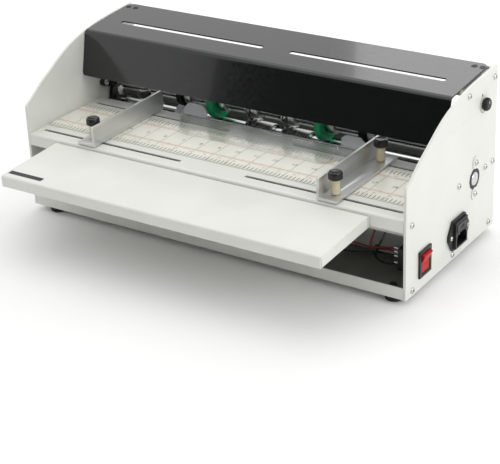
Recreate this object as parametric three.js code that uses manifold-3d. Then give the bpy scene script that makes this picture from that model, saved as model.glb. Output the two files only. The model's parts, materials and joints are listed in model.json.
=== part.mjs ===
// Bench-top paper creasing and perforating machine, 460 mm working width.
// Millimetres, +Z up. Inside the machine group X runs from the left side plate to the right one,
// Y from the operator to the delivery side and Z up from the underside of the base.
// The group is then moved so that the origin is the centre of the footprint on the bench.
import * as THREE from 'three';
import { mergeVertices } from 'three/addons/utils/BufferGeometryUtils.js';
import Module from 'manifold-3d';

const wasm = await Module();
wasm.setup();

// ---------------------------------------------------------------- driving dimensions
const GAP = 0.3;            // clearance between pieces that touch
const WIDTH = 508.4;        // over the side plates
const DEPTH = 216.5;        // side plate, front to back
const PLATE = 3;            // side plate thickness
const SHEET = 1.5;          // bent sheet thickness
const INNER_L = PLATE + GAP;
const INNER_R = WIDTH - PLATE - GAP;
const FLANGES = [INNER_L + 0.2, INNER_R - SHEET - 0.2]; // the end flanges start here

const TABLE_TOP = 93.6;
const TABLE_REAR = 138.5;
const TABLE_FLANGE = 14.5;
const SLOT_FRONT_Y = 18;
const SLOT_REAR_Y = 118.5;
const SLOT_W = 4.6;
const SLOT_SPANS = [[11, 212], [298.5, 496.3]];
const RULER = { y0: 32, y1: 107.5, x0: 5, x1: 503, t: 0.3 };

const AXIS_Y = 162;         // both shafts stand over each other here
const LOWER_Z = 78;
const PITCH_R = 17;         // gear pitch radius, and the radius of the paired wheels
const UPPER_Z = LOWER_Z + 2 * PITCH_R;
const MOTOR_Z = LOWER_Z - 2 * PITCH_R;
const SHAFT_R = 10;
const JOURNAL_R = 8;
const SLEEVE_R = 12;
const COLLAR_R = 14;
const WHEEL_R = PITCH_R - 0.15;
const FEED_R = UPPER_Z - LOWER_Z - SHAFT_R - 0.15; // these wheels run on the bare lower shaft
const GEAR_X = [WIDTH - 23, WIDTH - 15];
const TEETH = 17;

// station centre along X, tyre width and the kind of wheel
const STATIONS = [
  { x: 119, w: 8, kind: 'rubber' },
  { x: 169, w: 9, kind: 'feed' },
  { x: 217.5, w: 6, kind: 'crease' },
  { x: 268.5, w: 6, kind: 'crease' },
  { x: 320, w: 9, kind: 'feed' },
  { x: 374, w: 8, kind: 'rubber' },
];

const COVER = {
  x0: 4.3, x1: 500, rearY: 210, rearZ: 195.2, bendY: 116.5, bendZ: 187.8, lipY: 105, lipZ: 133.3,
};
const COVER_SLOTS = [[31, 239], [275, 475]];
const COVER_SLOT_Y = [151.2, 158.8];
const HINGE = { y: 213, z: 189.6, r: 2.6, pin: 1.1 };

const TRAY = { x0: 46.5, x1: 465.5, y0: -101.5, y1: -1.2, rearZ: 91.4, tilt: 2.1, flange: 13.5 };
const STUD = { xs: [110, 398], z: 86.6 };
const TRAY_LIFT = 4.4;     // the studs leave the keyholes after this much
const GUIDE = { leg: 25, t: 3, y0: 0.5, y1: 137.5, postIn: 13.5 };
const GUIDE_FACE = { left: 101.4, right: 401 };
const POST = { r: 5, h: 16.6, stud: 1.6 };
const KNOB = { r: 8, h: 9.2 };
const CLEAR = { x0: 134, x1: 388, y0: 83, y1: 136, t: 2, tabTop: 111.3, tabW: 34, tabR: 9 };

const SWITCH = { y0: 28, y1: 55, z0: 14, z1: 45.5 };
const ROCKER = { r: 11.4, tip: 14.5, base: 23, lean: 11.75, out: 1.3 };
const INLET = { y: 120.5, z: 31 };
const DIAL = { y: 181, z: 160.4, r: 7.5 };
const BAFFLE_Y = 89;
const BEAM = { y: 31, low: 58.7, depth: 11 };
const WIRE_R = 1.1;
const FOOT = { r: 10.5, h: 8 };

const COLORS = {
  powder: 0xeeefea, gloss: 0x1c1d1d, alu: 0xa9aaa8, steel: 0xc4c6c8, green: 0x1fa772, black: 0x17181a,
  nylon: 0xd9cfb4, red: 0xc2161a, white: 0xdcdcda, clear: 0xcfd6d6, zinc: 0x9a9c98, board: 0x1d5c3a,
};

// ---------------------------------------------------------------- solids and helpers
function solid(geometry) {
  geometry.deleteAttribute('normal');
  geometry.deleteAttribute('uv');
  const merged = mergeVertices(geometry, 1e-4);
  return new wasm.Manifold(new wasm.Mesh({
    numProp: 3,
    vertProperties: new Float32Array(merged.attributes.position.array),
    triVerts: new Uint32Array(merged.index.array),
  }));
}

function geometryOf(body) {
  const mesh = body.getMesh();
  const geometry = new THREE.BufferGeometry();
  geometry.setAttribute('position', new THREE.BufferAttribute(new Float32Array(mesh.vertProperties), 3));
  geometry.setIndex(new THREE.BufferAttribute(new Uint32Array(mesh.triVerts), 1));
  geometry.computeVertexNormals();
  return geometry;
}

function box(x0, x1, y0, y1, z0, z1) {
  const geometry = new THREE.BoxGeometry(x1 - x0, y1 - y0, z1 - z0);
  geometry.translate((x0 + x1) / 2, (y0 + y1) / 2, (z0 + z1) / 2);
  return solid(geometry);
}

const UNIT = {
  x: new THREE.Vector3(1, 0, 0),
  y: new THREE.Vector3(0, 1, 0),
  z: new THREE.Vector3(0, 0, 1),
};
const AXES = {
  x: new THREE.Matrix4().makeBasis(UNIT.y, UNIT.z, UNIT.x),
  y: new THREE.Matrix4().makeBasis(UNIT.z, UNIT.x, UNIT.y),
  z: new THREE.Matrix4(),
};

// An outline pushed along one axis. The outline's own axes are (Y, Z), (Z, X) or (X, Y).
function prism(axis, shape, from, to, segments = 6) {
  const settings = { depth: to - from, bevelEnabled: false, curveSegments: segments };
  const geometry = new THREE.ExtrudeGeometry(shape, settings);
  geometry.translate(0, 0, from);
  geometry.applyMatrix4(AXES[axis]);
  return solid(geometry);
}

function rod(axis, r, from, to, a, b, sides = 18) {
  const shape = new THREE.Shape();
  for (let i = 0; i < sides; i += 1) {
    const t = (2 * Math.PI * (i + 0.5)) / sides;
    const x = a + r * Math.cos(t);
    const y = b + r * Math.sin(t);
    if (i === 0) shape.moveTo(x, y);
    else shape.lineTo(x, y);
  }
  return prism(axis, shape, from, to);
}

function polygon(points) {
  const shape = new THREE.Shape();
  shape.moveTo(points[0][0], points[0][1]);
  for (const [x, y] of points.slice(1)) shape.lineTo(x, y);
  return shape;
}

// A rectangle with rounded corners.
function roundRect(x0, x1, y0, y1, r) {
  const shape = new THREE.Shape();
  shape.moveTo(x0 + r, y0);
  shape.lineTo(x1 - r, y0);
  shape.absarc(x1 - r, y0 + r, r, -Math.PI / 2, 0, false);
  shape.lineTo(x1, y1 - r);
  shape.absarc(x1 - r, y1 - r, r, 0, Math.PI / 2, false);
  shape.lineTo(x0 + r, y1);
  shape.absarc(x0 + r, y1 - r, r, Math.PI / 2, Math.PI, false);
  shape.lineTo(x0, y0 + r);
  shape.absarc(x0 + r, y0 + r, r, Math.PI, 1.5 * Math.PI, false);
  return shape;
}

// A strip of sheet with one thickness that follows a bent line, with a small radius at each bend.
function bentStrip(line, t, radius, steps = 4) {
  const round = (offset) => {
    const out = [];
    for (let i = 0; i < line.length; i += 1) {
      const p = new THREE.Vector2(...line[i]);
      const before = i > 0 ? new THREE.Vector2(...line[i - 1]) : null;
      const after = i < line.length - 1 ? new THREE.Vector2(...line[i + 1]) : null;
      const u = before ? p.clone().sub(before).normalize() : after.clone().sub(p).normalize();
      const v = after ? after.clone().sub(p).normalize() : u;
      const nu = new THREE.Vector2(-u.y, u.x);
      if (!before || !after) {
        out.push(p.clone().addScaledVector(nu, offset));
        continue;
      }
      const turn = u.x * v.y - u.y * v.x;
      const inward = Math.sign(turn);
      const half = Math.acos(THREE.MathUtils.clamp(u.dot(v), -1, 1)) / 2;
      const setback = radius * Math.tan(half);
      const start = p.clone().addScaledVector(u, -setback);
      const centre = start.clone().addScaledVector(nu, inward * radius);
      for (let k = 0; k <= steps; k += 1) {
        const n = nu.clone().rotateAround(new THREE.Vector2(), (inward * 2 * half * k) / steps);
        out.push(centre.clone().addScaledVector(n, -inward * radius + offset));
      }
    }
    return out;
  };
  const outer = round(0);
  const inner = round(t).reverse();
  return polygon([...outer, ...inner].map((p) => [p.x, p.y]));
}

function stadium(x0, x1, y0, y1) {
  return roundRect(x0, x1, y0, y1, (y1 - y0) / 2 - 0.001);
}

function tube(points, r, sides = 6) {
  const section = new THREE.Shape();
  for (let i = 0; i < sides; i += 1) {
    const t = (2 * Math.PI * i) / sides;
    if (i === 0) section.moveTo(r, 0);
    else section.lineTo(r * Math.cos(t), r * Math.sin(t));
  }
  const path = new THREE.CatmullRomCurve3(points.map((p) => new THREE.Vector3(...p)));
  const steps = Math.min(34, Math.max(8, Math.round(path.getLength() / (8 * r))));
  return solid(new THREE.ExtrudeGeometry(section, { steps, extrudePath: path, bevelEnabled: false }));
}

const machine = new THREE.Group();

function piece(name, body, color, roughness, metalness = 0) {
  const material = new THREE.MeshStandardMaterial({ color, roughness, metalness });
  const mesh = new THREE.Mesh(geometryOf(body), material);
  mesh.name = name;
  machine.add(mesh);
  return mesh;
}

const powder = (name, body) => piece(name, body, COLORS.powder, 0.45);
const steel = (name, body) => piece(name, body, COLORS.steel, 0.25, 1);

// ---------------------------------------------------------------- side plates and base
function sideOutline() {
  const r = 2.5;
  const shape = new THREE.Shape();
  shape.moveTo(r, 0);
  shape.lineTo(DEPTH - r, 0);
  shape.absarc(DEPTH - r, r, r, -Math.PI / 2, 0, false);
  shape.lineTo(214.5, 193.5);
  shape.absarc(212.5, 193.4, 2, 0, Math.PI / 2, false);
  shape.splineThru([
    new THREE.Vector2(165, 192.7), new THREE.Vector2(132, 189), new THREE.Vector2(98, 181),
    new THREE.Vector2(76, 172.5), new THREE.Vector2(50, 158.5), new THREE.Vector2(30, 147.5),
    new THREE.Vector2(10, 134), new THREE.Vector2(2, 129.6),
  ]);
  shape.lineTo(0, 126.5);
  shape.lineTo(0, r);
  shape.absarc(r, r, r, Math.PI, 1.5 * Math.PI, false);
  return shape;
}

function circleHole(y, z, r) {
  const path = new THREE.Path();
  path.absarc(y, z, r, 0, 2 * Math.PI, true);
  return path;
}

function sidePlates() {
  const left = sideOutline();
  left.holes.push(circleHole(AXIS_Y, LOWER_Z, 12.4));
  powder('left_side_plate', prism('x', left, 0, PLATE, 5));

  const right = sideOutline();
  right.holes.push(circleHole(AXIS_Y, LOWER_Z, 12.4), circleHole(DIAL.y, DIAL.z, 4));
  const cut = (y0, y1, z0, z1) => box(WIDTH - 9, WIDTH + 9, y0, y1, z0, z1);
  const plate = prism('x', right, WIDTH - PLATE, WIDTH, 5)
    .subtract(cut(SWITCH.y0 + 2.5, SWITCH.y1 - 2.5, SWITCH.z0 + 2.5, SWITCH.z1 - 2.5))
    .subtract(cut(INLET.y - 14.5, INLET.y + 14.5, INLET.z - 15.5, INLET.z + 15.5));
  powder('right_side_plate', plate);
}

function baseTray() {
  const profile = bentStrip([[0, 14.5], [0, 0], [DEPTH - 0.5, 0], [DEPTH - 0.5, 78]], SHEET, 2);
  let tray = prism('x', profile, INNER_L, INNER_R, 4);
  for (const x of FLANGES) tray = tray.add(box(x, x + SHEET, 4, DEPTH - 4, 0.5, 13));
  // welded baffle behind the open bay, with a hole for the motor leads
  tray = tray.add(box(INNER_L + 2, INNER_R - 26, BAFFLE_Y, BAFFLE_Y + SHEET, 1, 74))
    .subtract(box(178, 194, BAFFLE_Y - 2, BAFFLE_Y + 4, 3.5, 17));
  powder('base_tray', tray);
}

function feet() {
  const xs = [24.5, WIDTH - 21.4];
  const ys = [15, DEPTH - 18];
  const names = ['front_left', 'front_right', 'rear_left', 'rear_right'];
  names.forEach((name, i) => {
    const x = xs[i % 2];
    const y = ys[Math.floor(i / 2)];
    const body = rod('z', FOOT.r, -FOOT.h, -GAP, x, y, 20);
    piece(`foot_${name}`, body, COLORS.black, 0.85);
  });
}

// ---------------------------------------------------------------- paper path
function feedTable() {
  const line = [
    [0, TABLE_TOP - TABLE_FLANGE], [0, TABLE_TOP], [TABLE_REAR, TABLE_TOP], [TABLE_REAR, TABLE_TOP - 8],
  ];
  let table = prism('x', bentStrip(line, -SHEET, 2.5), INNER_L, INNER_R, 4);
  for (const x of FLANGES) {
    table = table.add(box(x, x + SHEET, 3, TABLE_REAR - 3, TABLE_TOP - TABLE_FLANGE, TABLE_TOP - 0.2));
  }
  for (const y of [SLOT_FRONT_Y, SLOT_REAR_Y]) {
    for (const [x0, x1] of SLOT_SPANS) {
      const outline = stadium(x0, x1, y - SLOT_W / 2, y + SLOT_W / 2);
      table = table.subtract(prism('z', outline, TABLE_TOP - 5, TABLE_TOP + 5, 2));
    }
  }
  // two headed studs on the front flange carry the front tray
  for (const x of STUD.xs) {
    table = table.add(rod('y', 1.5, -5, 0.5, STUD.z, x, 10)).add(rod('y', 2.9, -5, -3.4, STUD.z, x, 12));
  }
  powder('feed_table', table);
  const z = TABLE_TOP + GAP;
  piece('ruler_sheet', box(RULER.x0, RULER.x1, RULER.y0, RULER.y1, z, z + RULER.t), 0xe9eadf, 0.35);
}

function crossBeam() {
  const top = TABLE_TOP - SHEET - GAP;
  const profile = bentStrip([[BEAM.y + BEAM.depth, top], [BEAM.y, top], [BEAM.y, BEAM.low]], SHEET, 2);
  powder('table_cross_beam', prism('x', profile, INNER_L + SHEET + GAP, INNER_R - SHEET - GAP, 4));
}

function deliveryPlate() {
  const line = [[183, 82], [183, 90], [DEPTH - 0.5, 86], [DEPTH - 0.5, 79.5]];
  let plate = prism('x', bentStrip(line, -SHEET, 2), INNER_L, INNER_R, 4);
  for (const x of FLANGES) plate = plate.add(box(x, x + SHEET, 186, 213, 76, 87.5));
  powder('delivery_plate', plate);
}

function clearGuide() {
  const z0 = TABLE_TOP + 2 * GAP + RULER.t;
  const mid = (CLEAR.x0 + CLEAR.x1) / 2;
  const shape = new THREE.Shape();
  shape.moveTo(CLEAR.x0 + 38, CLEAR.y0);
  shape.lineTo(2 * mid - CLEAR.x0 - 38, CLEAR.y0);
  shape.quadraticCurveTo(CLEAR.x1 - 24, CLEAR.y0, CLEAR.x1 - 20, CLEAR.y0 + 14);
  shape.lineTo(CLEAR.x1, CLEAR.y1 - 8);
  shape.lineTo(CLEAR.x1, CLEAR.y1);
  shape.lineTo(CLEAR.x0, CLEAR.y1);
  shape.lineTo(CLEAR.x0, CLEAR.y1 - 8);
  shape.lineTo(CLEAR.x0 + 20, CLEAR.y0 + 14);
  shape.quadraticCurveTo(CLEAR.x0 + 24, CLEAR.y0, CLEAR.x0 + 38, CLEAR.y0);
  let guide = prism('z', shape, z0, z0 + CLEAR.t, 5);
  // each raised end has a chamfer outside and a large radius inside
  const { tabTop: top, tabW, tabR: r } = CLEAR;
  for (const side of [-1, 1]) {
    const edge = side < 0 ? CLEAR.x0 : CLEAR.x1;
    const inside = edge - side * tabW;
    const points = [[z0, edge], [top - 8, edge], [top, edge - side * 8]];
    for (let k = 0; k <= 6; k += 1) {
      const t = (Math.PI / 2) * (k / 6);
      points.push([top - r + r * Math.cos(t), inside + side * (r - r * Math.sin(t))]);
    }
    points.push([z0, inside]);
    const outline = polygon(side < 0 ? points : points.reverse());
    guide = guide.add(prism('y', outline, CLEAR.y1 - CLEAR.t, CLEAR.y1));
  }
  piece('clear_paper_guide', guide, COLORS.clear, 0.05);
}

function frontTray() {
  const z = TRAY.rearZ;
  const line = [[TRAY.y0, z - TRAY.flange], [TRAY.y0, z], [TRAY.y1, z], [TRAY.y1, z - TRAY.flange]];
  let tray = prism('x', bentStrip(line, -SHEET, 3), TRAY.x0, TRAY.x1, 4);
  for (const x of [TRAY.x0, TRAY.x1 - SHEET]) {
    tray = tray.add(box(x, x + SHEET, TRAY.y0 + 3, TRAY.y1 - 3, z - TRAY.flange, z - 0.2));
  }
  tray = tray.translate([0, -TRAY.y1, -z]).rotate([TRAY.tilt, 0, 0])
    .translate([0, TRAY.y1, z]);
  // keyholes that drop over the headed studs
  for (const x of STUD.xs) {
    const entry = STUD.z - TRAY_LIFT;
    tray = tray.subtract(rod('y', 3.4, -3.2, 2, entry, x, 12));
    tray = tray.subtract(box(x - 1.9, x + 1.9, -3.2, 2, entry, STUD.z + 2));
  }
  powder('front_tray', tray);
}

// ---------------------------------------------------------------- side guides
function sideGuide(side) {
  const dir = side === 'left' ? -1 : 1;
  const face = GUIDE_FACE[side];
  const z0 = TABLE_TOP + 2 * GAP + RULER.t;
  const span = (a, b) => (a < b ? [a, b] : [b, a]);
  const [fx0, fx1] = span(face, face + dir * GUIDE.leg);
  const [vx0, vx1] = span(face, face + dir * GUIDE.t);
  const postX = face + dir * GUIDE.postIn;
  let angle = box(fx0, fx1, GUIDE.y0, GUIDE.y1, z0, z0 + GUIDE.t)
    .add(box(vx0, vx1, GUIDE.y0, GUIDE.y1, z0, z0 + GUIDE.leg));
  const top = z0 + GUIDE.t + GAP;
  for (const [where, y] of [['front', SLOT_FRONT_Y], ['rear', SLOT_REAR_Y]]) {
    angle = angle.subtract(rod('z', POST.stud + 0.4, z0 - 1, z0 + 5, postX, y, 12));
    const post = rod('z', POST.r, top, top + POST.h, postX, y, 20)
      .add(rod('z', POST.stud, TABLE_TOP - 5, top + POST.h + 6.5, postX, y, 12))
      .add(rod('z', 4.5, TABLE_TOP - 5, TABLE_TOP - SHEET - GAP, postX, y, 12));
    piece(`${side}_guide_post_${where}`, post, COLORS.nylon, 0.4);
    const base = top + POST.h + GAP;
    const knob = rod('z', KNOB.r, base, base + KNOB.h, postX, y, 24)
      .subtract(rod('z', POST.stud + GAP, base - 1, base + 6.8, postX, y, 12));
    piece(`${side}_guide_knob_${where}`, knob, COLORS.black, 0.5);
  }
  piece(`${side}_guide`, angle, COLORS.alu, 0.35, 1);
}

// ---------------------------------------------------------------- shafts, wheels and gears
const bar = (r, x0, x1, z, sides = 16) => rod('x', r, x0, x1, AXIS_Y, z, sides);
const ring = (outer, inner, x0, x1, z) => bar(outer, x0, x1, z, 24).subtract(bar(inner, x0 - 1, x1 + 1, z));

function upperShaft() {
  let shaft = bar(SHAFT_R, 25, WIDTH - 25, UPPER_Z).add(bar(JOURNAL_R, INNER_L + 1, INNER_R - 1, UPPER_Z));
  STATIONS.forEach(({ x, w, kind }, i) => {
    const x0 = x - w / 2;
    const x1 = x + w / 2;
    shaft = shaft.add(bar(SLEEVE_R, x0, x1 + 2.5, UPPER_Z)).add(bar(COLLAR_R, x1 + 2, x1 + 11, UPPER_Z));
    const at = `upper_${kind}_wheel_${i + 1}`;
    if (kind === 'crease') {
      const blade = ring(WHEEL_R + 0.9, SLEEVE_R + GAP, x - 0.6, x + 0.6, UPPER_Z)
        .add(ring(WHEEL_R - 1.6, SLEEVE_R + GAP, x - w / 2, x + w / 2, UPPER_Z));
      steel(at, blade);
      return;
    }
    const [radius, color] = kind === 'feed' ? [FEED_R, COLORS.green] : [WHEEL_R, COLORS.black];
    piece(at, ring(radius, SLEEVE_R + GAP, x0, x1, UPPER_Z), color, 0.6);
  });
  steel('upper_shaft', shaft);
}

function lowerShaft() {
  let shaft = bar(SHAFT_R, 25, WIDTH - 25, LOWER_Z).add(bar(JOURNAL_R, -1, WIDTH + 1, LOWER_Z));
  STATIONS.forEach(({ x, kind }, i) => {
    if (kind === 'feed') return;
    const at = `lower_${kind}_wheel_${i + 1}`;
    const bore = SLEEVE_R + GAP;
    if (kind === 'crease') {
      const die = ring(WHEEL_R, bore, x - 6, x + 7, LOWER_Z)
        .subtract(ring(WHEEL_R + 1, WHEEL_R - 1.6, x - 1.3, x + 1.3, LOWER_Z))
        .add(ring(15, bore, x + 6, x + 29, LOWER_Z));
      shaft = shaft.add(bar(SLEEVE_R, x - 6, x + 29, LOWER_Z));
      steel(at, die);
      return;
    }
    shaft = shaft.add(bar(SLEEVE_R, x - 10, x + 10, LOWER_Z));
    piece(at, ring(WHEEL_R, bore, x - 10, x + 10, LOWER_Z), COLORS.white, 0.6);
  });
  steel('lower_shaft', shaft);
}

// Straight-flanked teeth, one pointing up. An odd count puts a gap straight down, so that three
// equal gears over each other mesh without turning any of them.
function gear(name, z, boreR) {
  const module = (2 * PITCH_R) / TEETH;
  const root = PITCH_R - 1.2 * module;
  const tip = PITCH_R + 0.85 * module;
  const pitch = (2 * Math.PI) / TEETH;
  const points = [];
  for (let i = 0; i < TEETH; i += 1) {
    const a = Math.PI / 2 + i * pitch;
    for (const [r, share] of [[root, -0.33], [tip, -0.11], [tip, 0.11], [root, 0.33]]) {
      const t = a + share * pitch;
      points.push([AXIS_Y + r * Math.cos(t), z + r * Math.sin(t)]);
    }
  }
  const [x0, x1] = GEAR_X;
  const body = prism('x', polygon(points), x0, x1).subtract(bar(boreR, x0 - 9, x1 + 9, z));
  return steel(name, body);
}

// Two-bolt flange bearing: ears against the plate, hub inside the machine, spigot through the plate.
function bearing(name, side, z, upright, spigot) {
  const x = (d) => (side === 'left' ? INNER_L + d : INNER_R - d);
  const run = (a, b) => [Math.min(x(a), x(b)), Math.max(x(a), x(b))];
  const bolt = 18.5;
  const ear = 5.6;
  const hub = 11.6;
  const thick = upright ? 4 : 4.5;
  const [e0, e1] = run(0, thick);
  const [h0, h1] = run(thick - 0.05, 10.5);
  const [dy, dz] = upright ? [0, bolt] : [bolt, 0];
  const lug = (s) => rod('x', ear, e0, e1, AXIS_Y + s * dy, z + s * dz, 12);
  const web = upright ? box(e0, e1, AXIS_Y - 7.5, AXIS_Y + 7.5, z - 12, z + 12)
    : box(e0, e1, AXIS_Y - 12, AXIS_Y + 12, z - 7.5, z + 7.5);
  const bridge = upright ? box(e0, e1, AXIS_Y - ear, AXIS_Y + ear, z - bolt, z + bolt)
    : box(e0, e1, AXIS_Y - bolt, AXIS_Y + bolt, z - ear, z + ear);
  let body = lug(-1).add(lug(1)).add(web).add(bridge).add(rod('x', hub, h0, h1, AXIS_Y, z));
  if (upright) body = body.add(rod('x', hub, e0, e1, AXIS_Y, z));
  if (spigot) {
    const [s0, s1] = run(-PLATE - 2 * GAP - 0.4, 0.1);
    body = body.add(rod('x', 11.9, s0, s1, AXIS_Y, z, 20));
  }
  body = body.subtract(bar(JOURNAL_R + GAP, -20, WIDTH + 20, z));
  piece(name, body, COLORS.black, 0.4, 0.5);
}

function drive() {
  gear('upper_gear', UPPER_Z, JOURNAL_R + GAP);
  gear('lower_gear', LOWER_Z, JOURNAL_R + GAP);
  gear('motor_pinion', MOTOR_Z, 3 + GAP);
  // along X from the right side plate inwards
  const at = (r, d0, d1, sides = 24) => rod('x', r, WIDTH - d1, WIDTH - d0, AXIS_Y, MOTOR_Z, sides);
  const motor = at(3, 12, 27, 16)
    .add(at(18.5, 26.5, 58))
    .add(at(17.8, 57.5, 97))
    .add(at(6, 96.5, 100.5, 12));
  piece('gear_motor', motor, COLORS.zinc, 0.4, 0.8);
  const bracket = box(INNER_R - 22.6, INNER_R - 20.5, 140, 184, 2, 66)
    .add(box(INNER_R - 52, INNER_R - 20.5, 140, 184, SHEET + GAP, 3.8))
    .subtract(at(4, 0, 60, 16));
  piece('motor_bracket', bracket, COLORS.zinc, 0.4, 0.8);
}

// ---------------------------------------------------------------- top cover and its hinges
function coverRise(y) {
  return COVER.bendZ + ((y - COVER.bendY) * (COVER.rearZ - COVER.bendZ)) / (COVER.rearY - COVER.bendY);
}

function topCover() {
  const line = [[COVER.lipY, COVER.lipZ], [COVER.bendY, COVER.bendZ], [COVER.rearY, COVER.rearZ]];
  let cover = prism('x', bentStrip(line, -SHEET, 6, 6), COVER.x0, COVER.x1, 4);
  const fromFront = roundRect(COVER.lipZ - 1, 230, COVER.x0, COVER.x1, 6);
  const fromTop = roundRect(COVER.x0, COVER.x1, 60, COVER.rearY, 8);
  cover = cover.intersect(prism('y', fromFront, 60, 240, 4)).intersect(prism('z', fromTop, 100, 240, 4));
  for (const [x0, x1] of COVER_SLOTS) {
    cover = cover.subtract(prism('z', stadium(x0, x1, COVER_SLOT_Y[0], COVER_SLOT_Y[1]), 180, 200, 3));
  }
  // the moving hinge leaves are screwed to the underside
  for (const x of [14.5, 492]) {
    const leaf = polygon([
      [190, coverRise(190) - 2.7], [206, coverRise(206) - 2.7], [HINGE.y, HINGE.z + 0.6],
      [HINGE.y, HINGE.z + 1.9], [207.5, coverRise(207.5) - 1.3], [190, coverRise(190) - 1.3],
    ]);
    const half = x < 100 ? 9 : 7;
    cover = cover.add(prism('x', leaf, x - half, x + half))
      .subtract(rod('x', HINGE.r + 0.35, x - 12, x - 4.2, HINGE.y, HINGE.z, 16))
      .subtract(rod('x', HINGE.r + 0.35, x + 4.2, x + 12, HINGE.y, HINGE.z, 16))
      .add(rod('x', HINGE.r, x - 4, x + 4, HINGE.y, HINGE.z, 16))
      .subtract(rod('x', HINGE.pin + 0.3, x - 12, x + 12, HINGE.y, HINGE.z, 12));
  }
  piece('top_cover', cover, COLORS.gloss, 0.12);
}

// Each rail is screwed to its side plate. It carries a rest pad in front and the fixed hinge leaf,
// its two knuckles and the pin behind.
function coverRails() {
  const sides = [
    { side: 'left', x0: INNER_L, x1: 23.5, wall: INNER_L, pad: [8, 20], hinge: 14.5 },
    { side: 'right', x0: 484, x1: INNER_R, wall: INNER_R - SHEET, pad: [488, 499], hinge: 492 },
  ];
  const band = (y0, y1, low, high) => polygon([
    [y0, coverRise(y0) - low], [y1, coverRise(y1) - low],
    [y1, coverRise(y1) - high], [y0, coverRise(y0) - high],
  ]);
  for (const { side, x0, x1, wall, pad, hinge } of sides) {
    const leaf = polygon([
      [191, coverRise(191) - 5.2], [204, coverRise(204) - 5.2], [HINGE.y, HINGE.z - 2.2],
      [HINGE.y, HINGE.z - 0.8], [204, coverRise(204) - 3.8], [191, coverRise(191) - 3.8],
    ]);
    const knuckle = (a, b, r) => rod('x', r, hinge + a, hinge + b, HINGE.y, HINGE.z, 16);
    const rail = prism('x', band(138, 205, 6.6, 5.1), x0, x1)
      .add(box(wall, wall + SHEET, 138, 212, 176, 184))
      .add(prism('x', band(140, 147, 6, 1.9), pad[0], pad[1]))
      .add(prism('x', leaf, hinge - 8, hinge + 7.5))
      .subtract(knuckle(-4.3, 4.3, HINGE.r + 0.35))
      .add(knuckle(-8, -4.3, HINGE.r))
      .add(knuckle(4.3, 8, HINGE.r))
      .add(knuckle(-8, 8, HINGE.pin));
    powder(`cover_rail_${side}`, rail);
  }
}

// ---------------------------------------------------------------- electrics
function rockerSwitch() {
  const { y0, y1, z0, z1 } = SWITCH;
  const face = WIDTH + GAP;
  const bezel = box(face, face + 2.2, y0, y1, z0, z1)
    .add(box(WIDTH - 26, face + 0.1, y0 + 2.8, y1 - 2.8, z0 + 2.8, z1 - 2.8))
    .subtract(box(WIDTH - 7, face + 5, y0 + 4, y1 - 4, z0 + 4, z1 - 4));
  piece('switch_body', bezel, COLORS.black, 0.45);
  // the ends are arcs about the pivot, so that the rocker tips inside its frame
  const zc = (z0 + z1) / 2;
  const arc = [-ROCKER.base, -8, 4, ROCKER.tip].map((deg) => THREE.MathUtils.degToRad(deg));
  const right = arc.map((t) => [ROCKER.r * Math.cos(t), ROCKER.r * Math.sin(t)]);
  const left = right.map(([u, v]) => [-u, v]).reverse();
  const points = [...right, [0, 0.6], ...left];
  const lean = THREE.MathUtils.degToRad(ROCKER.lean);
  const profile = polygon(points.map(([u, v]) => [
    zc + u * Math.cos(lean) - v * Math.sin(lean),
    WIDTH + ROCKER.out + u * Math.sin(lean) + v * Math.cos(lean),
  ]));
  const rocker = prism('y', profile, y0 + 4.4, y1 - 4.4);
  piece('power_rocker', rocker, COLORS.red, 0.3);
}

function powerInlet() {
  const { y, z } = INLET;
  const face = WIDTH + GAP;
  const flange = polygon([
    [y - 15, z - 18], [y + 15, z - 18], [y + 24.5, z - 3], [y + 24.5, z + 3],
    [y + 15, z + 18], [y - 15, z + 18], [y - 24.5, z + 3], [y - 24.5, z - 3],
  ]);
  const socket = polygon([
    [y - 12, z - 13.4], [y + 12, z - 13.4], [y + 12, z - 3],
    [y + 8, z + 1.6], [y - 8, z + 1.6], [y - 12, z - 3],
  ]);
  let body = prism('x', flange, face, face + 3)
    .add(box(face + 2.5, face + 6, y - 14.3, y + 14.3, z - 15.6, z + 15.6))
    .add(box(WIDTH - 24, face + 1, y - 14.2, y + 14.2, z - 15.2, z + 15.2))
    .subtract(prism('x', socket, WIDTH - 12, face + 9))
    .subtract(box(WIDTH - 14, face + 9, y - 12.2, y + 12.2, z + 4, z + 13.6));
  for (const [dy, dz] of [[-7, -5], [7, -5], [0, -9]]) {
    body = body.add(box(WIDTH - 13, WIDTH - 0.5, y + dy - 1, y + dy + 1, z + dz - 2, z + dz + 2));
  }
  piece('power_inlet', body, COLORS.black, 0.4);
  const drawer = box(WIDTH - 13, face + 6.6, y - 11.8, y + 11.8, z + 4.4, z + 13.2)
    .subtract(box(face + 5.9, face + 9, y - 3.5, y + 3.5, z + 7, z + 10));
  piece('fuse_drawer', drawer, COLORS.black, 0.5);
}

function speedControl() {
  const { y, z, r } = DIAL;
  const at = (radius, x0, x1, sides = 24) => rod('x', radius, x0, x1, y, z, sides);
  const pot = at(8.2, INNER_R - 9, INNER_R - 0.6)
    .add(at(3.5, INNER_R - 1, WIDTH + 0.9, 16))
    .add(at(3, WIDTH, WIDTH + 4.5, 16));
  piece('speed_control', pot, COLORS.zinc, 0.4, 0.8);
  const knob = at(r, WIDTH + 1.2, WIDTH + 7, 28).subtract(at(3 + GAP, WIDTH, WIDTH + 4.9, 16));
  piece('speed_knob', knob, COLORS.black, 0.45);
}

function controlBoard() {
  const board = box(400, 462, 95, 131, 9, 10.6)
    .add(box(405, 425, 100, 118, 10.5, 26))
    .add(box(432, 444, 102, 122, 10.5, 22))
    .add(box(449, 457, 98, 128, 10.5, 19))
    .add(box(402, 406, 96, 100, SHEET + GAP, 9.1))
    .add(box(456, 460, 96, 100, SHEET + GAP, 9.1))
    .add(box(402, 406, 126, 130, SHEET + GAP, 9.1))
    .add(box(456, 460, 126, 130, SHEET + GAP, 9.1));
  piece('control_board', board, COLORS.board, 0.5);
}

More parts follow.
